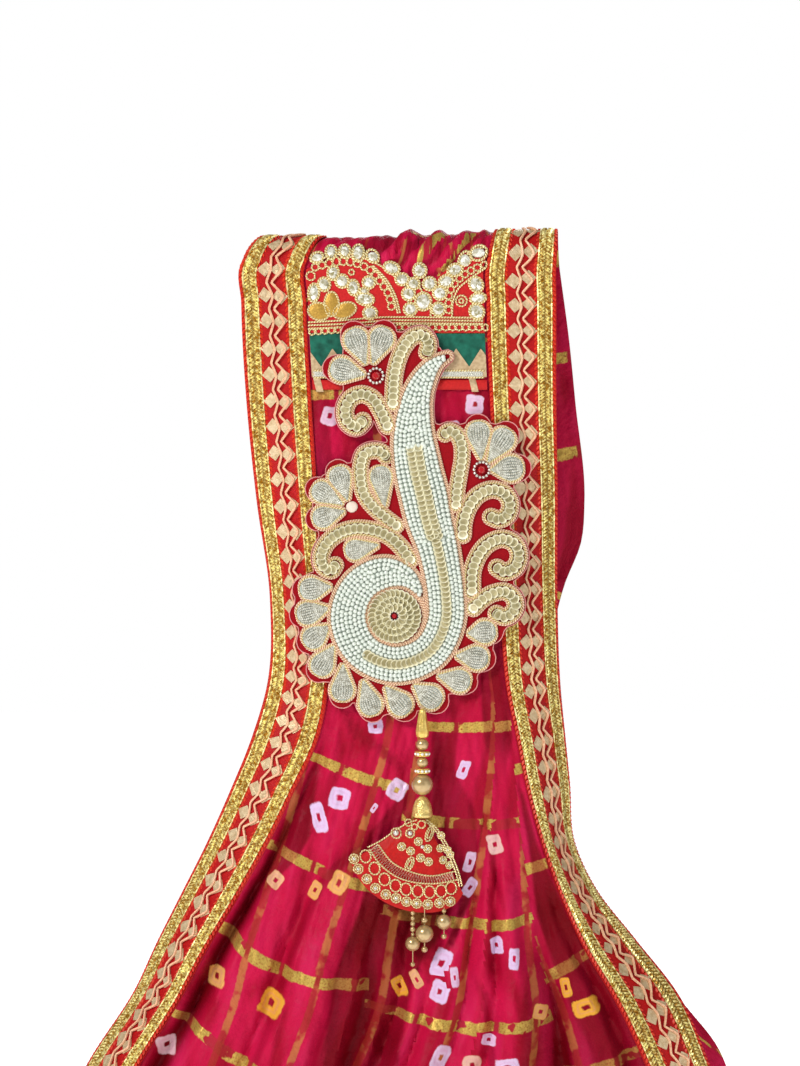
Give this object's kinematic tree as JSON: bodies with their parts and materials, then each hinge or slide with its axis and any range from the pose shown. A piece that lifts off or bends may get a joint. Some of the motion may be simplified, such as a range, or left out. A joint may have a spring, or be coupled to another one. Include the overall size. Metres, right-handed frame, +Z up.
{
  "type": "bandhani cloth",
  "caption": "Tie-dyed silk cloth with gold lace down both edges, an embroidered top band, a beaded paisley patch and a tassel, hung in a fold over a support.",
  "frame": {"origin": "crest of the fold, midway between the front and back falls and over the middle of the top's width as pictured", "axes": "+X to the right as seen from the front, -Y towards the viewer, out of the face with the patch, +Z up"},
  "size_m": [0.4592, 0.138, 0.6067],
  "materials": {
    "bandhani_silk": "satin sheen, tie-dyed and woven with gold checks",
    "champagne_pearl": "antique gold lustre",
    "champagne_sequins": "pale gold, cupped",
    "embroidered_satin": "red satin with gold cord work",
    "gold_beads": "bright gold",
    "gold_tissue": "gold tissue folded to points",
    "green_silk": "satin sheen",
    "lace_satin": "red satin ribbon with gold braid and gold-paper diamonds",
    "pearl_beads": "pearl lustre",
    "red_crystal": "faceted, backed",
    "red_felt": "matt felt",
    "silver_wire": "coiled wire, bright",
    "tassel_satin": "red satin covered in gold cord"
  },
  "bodies": {
    "root": {"band_arches": "embroidered_satin", "band_green": "green_silk", "band_piping": "embroidered_satin", "band_teeth": "gold_tissue", "cloth_back": "bandhani_silk", "cloth_crest": "bandhani_silk", "cloth_front": "bandhani_silk", "lace_left": "lace_satin", "lace_right": "lace_satin", "paisley_body": "pearl_beads", "patch_felt": "red_felt", "petal_a1": "silver_wire", "petal_a2": "silver_wire", "petal_a3": "silver_wire", "petal_b1": "silver_wire", "petal_b2": "silver_wire", "petal_b3": "silver_wire", "petal_c1": "silver_wire", "petal_c2": "silver_wire", "petal_c3": "silver_wire", "petal_inner_1": "silver_wire", "petal_inner_2": "silver_wire", "petal_rim_01": "silver_wire", "petal_rim_02": "silver_wire", "petal_rim_03": "silver_wire", "petal_rim_04": "silver_wire", "petal_rim_05": "silver_wire", "petal_rim_06": "silver_wire", "petal_rim_07": "silver_wire", "petal_rim_08": "silver_wire", "petal_rim_09": "silver_wire", "petal_rim_10": "silver_wire", "petal_rim_11": "silver_wire", "scroll_long_left": "champagne_sequins", "scroll_loop_left": "champagne_sequins", "scroll_right_1": "champagne_sequins", "scroll_right_2": "champagne_sequins", "scroll_right_3": "champagne_sequins", "scroll_tall": "champagne_sequins", "scroll_upper_left": "champagne_sequins", "scroll_upper_right": "champagne_sequins", "sequin_disc": "champagne_sequins", "stone_a": "red_crystal", "stone_b": "red_crystal", "stone_c": "red_crystal", "stone_spiral": "red_crystal", "string_left": "gold_beads", "string_middle": "gold_beads", "string_right": "gold_beads", "tassel_cap": "gold_beads", "tassel_drop": "gold_beads", "tassel_fan": "tassel_satin", "tassel_loop": "gold_beads", "tassel_pearl_1": "champagne_pearl", "tassel_pearl_2": "champagne_pearl", "tassel_pearl_3": "champagne_pearl", "tassel_rondelle_1": "gold_beads", "tassel_rondelle_2": "gold_beads"}
  },
  "joints": []
}
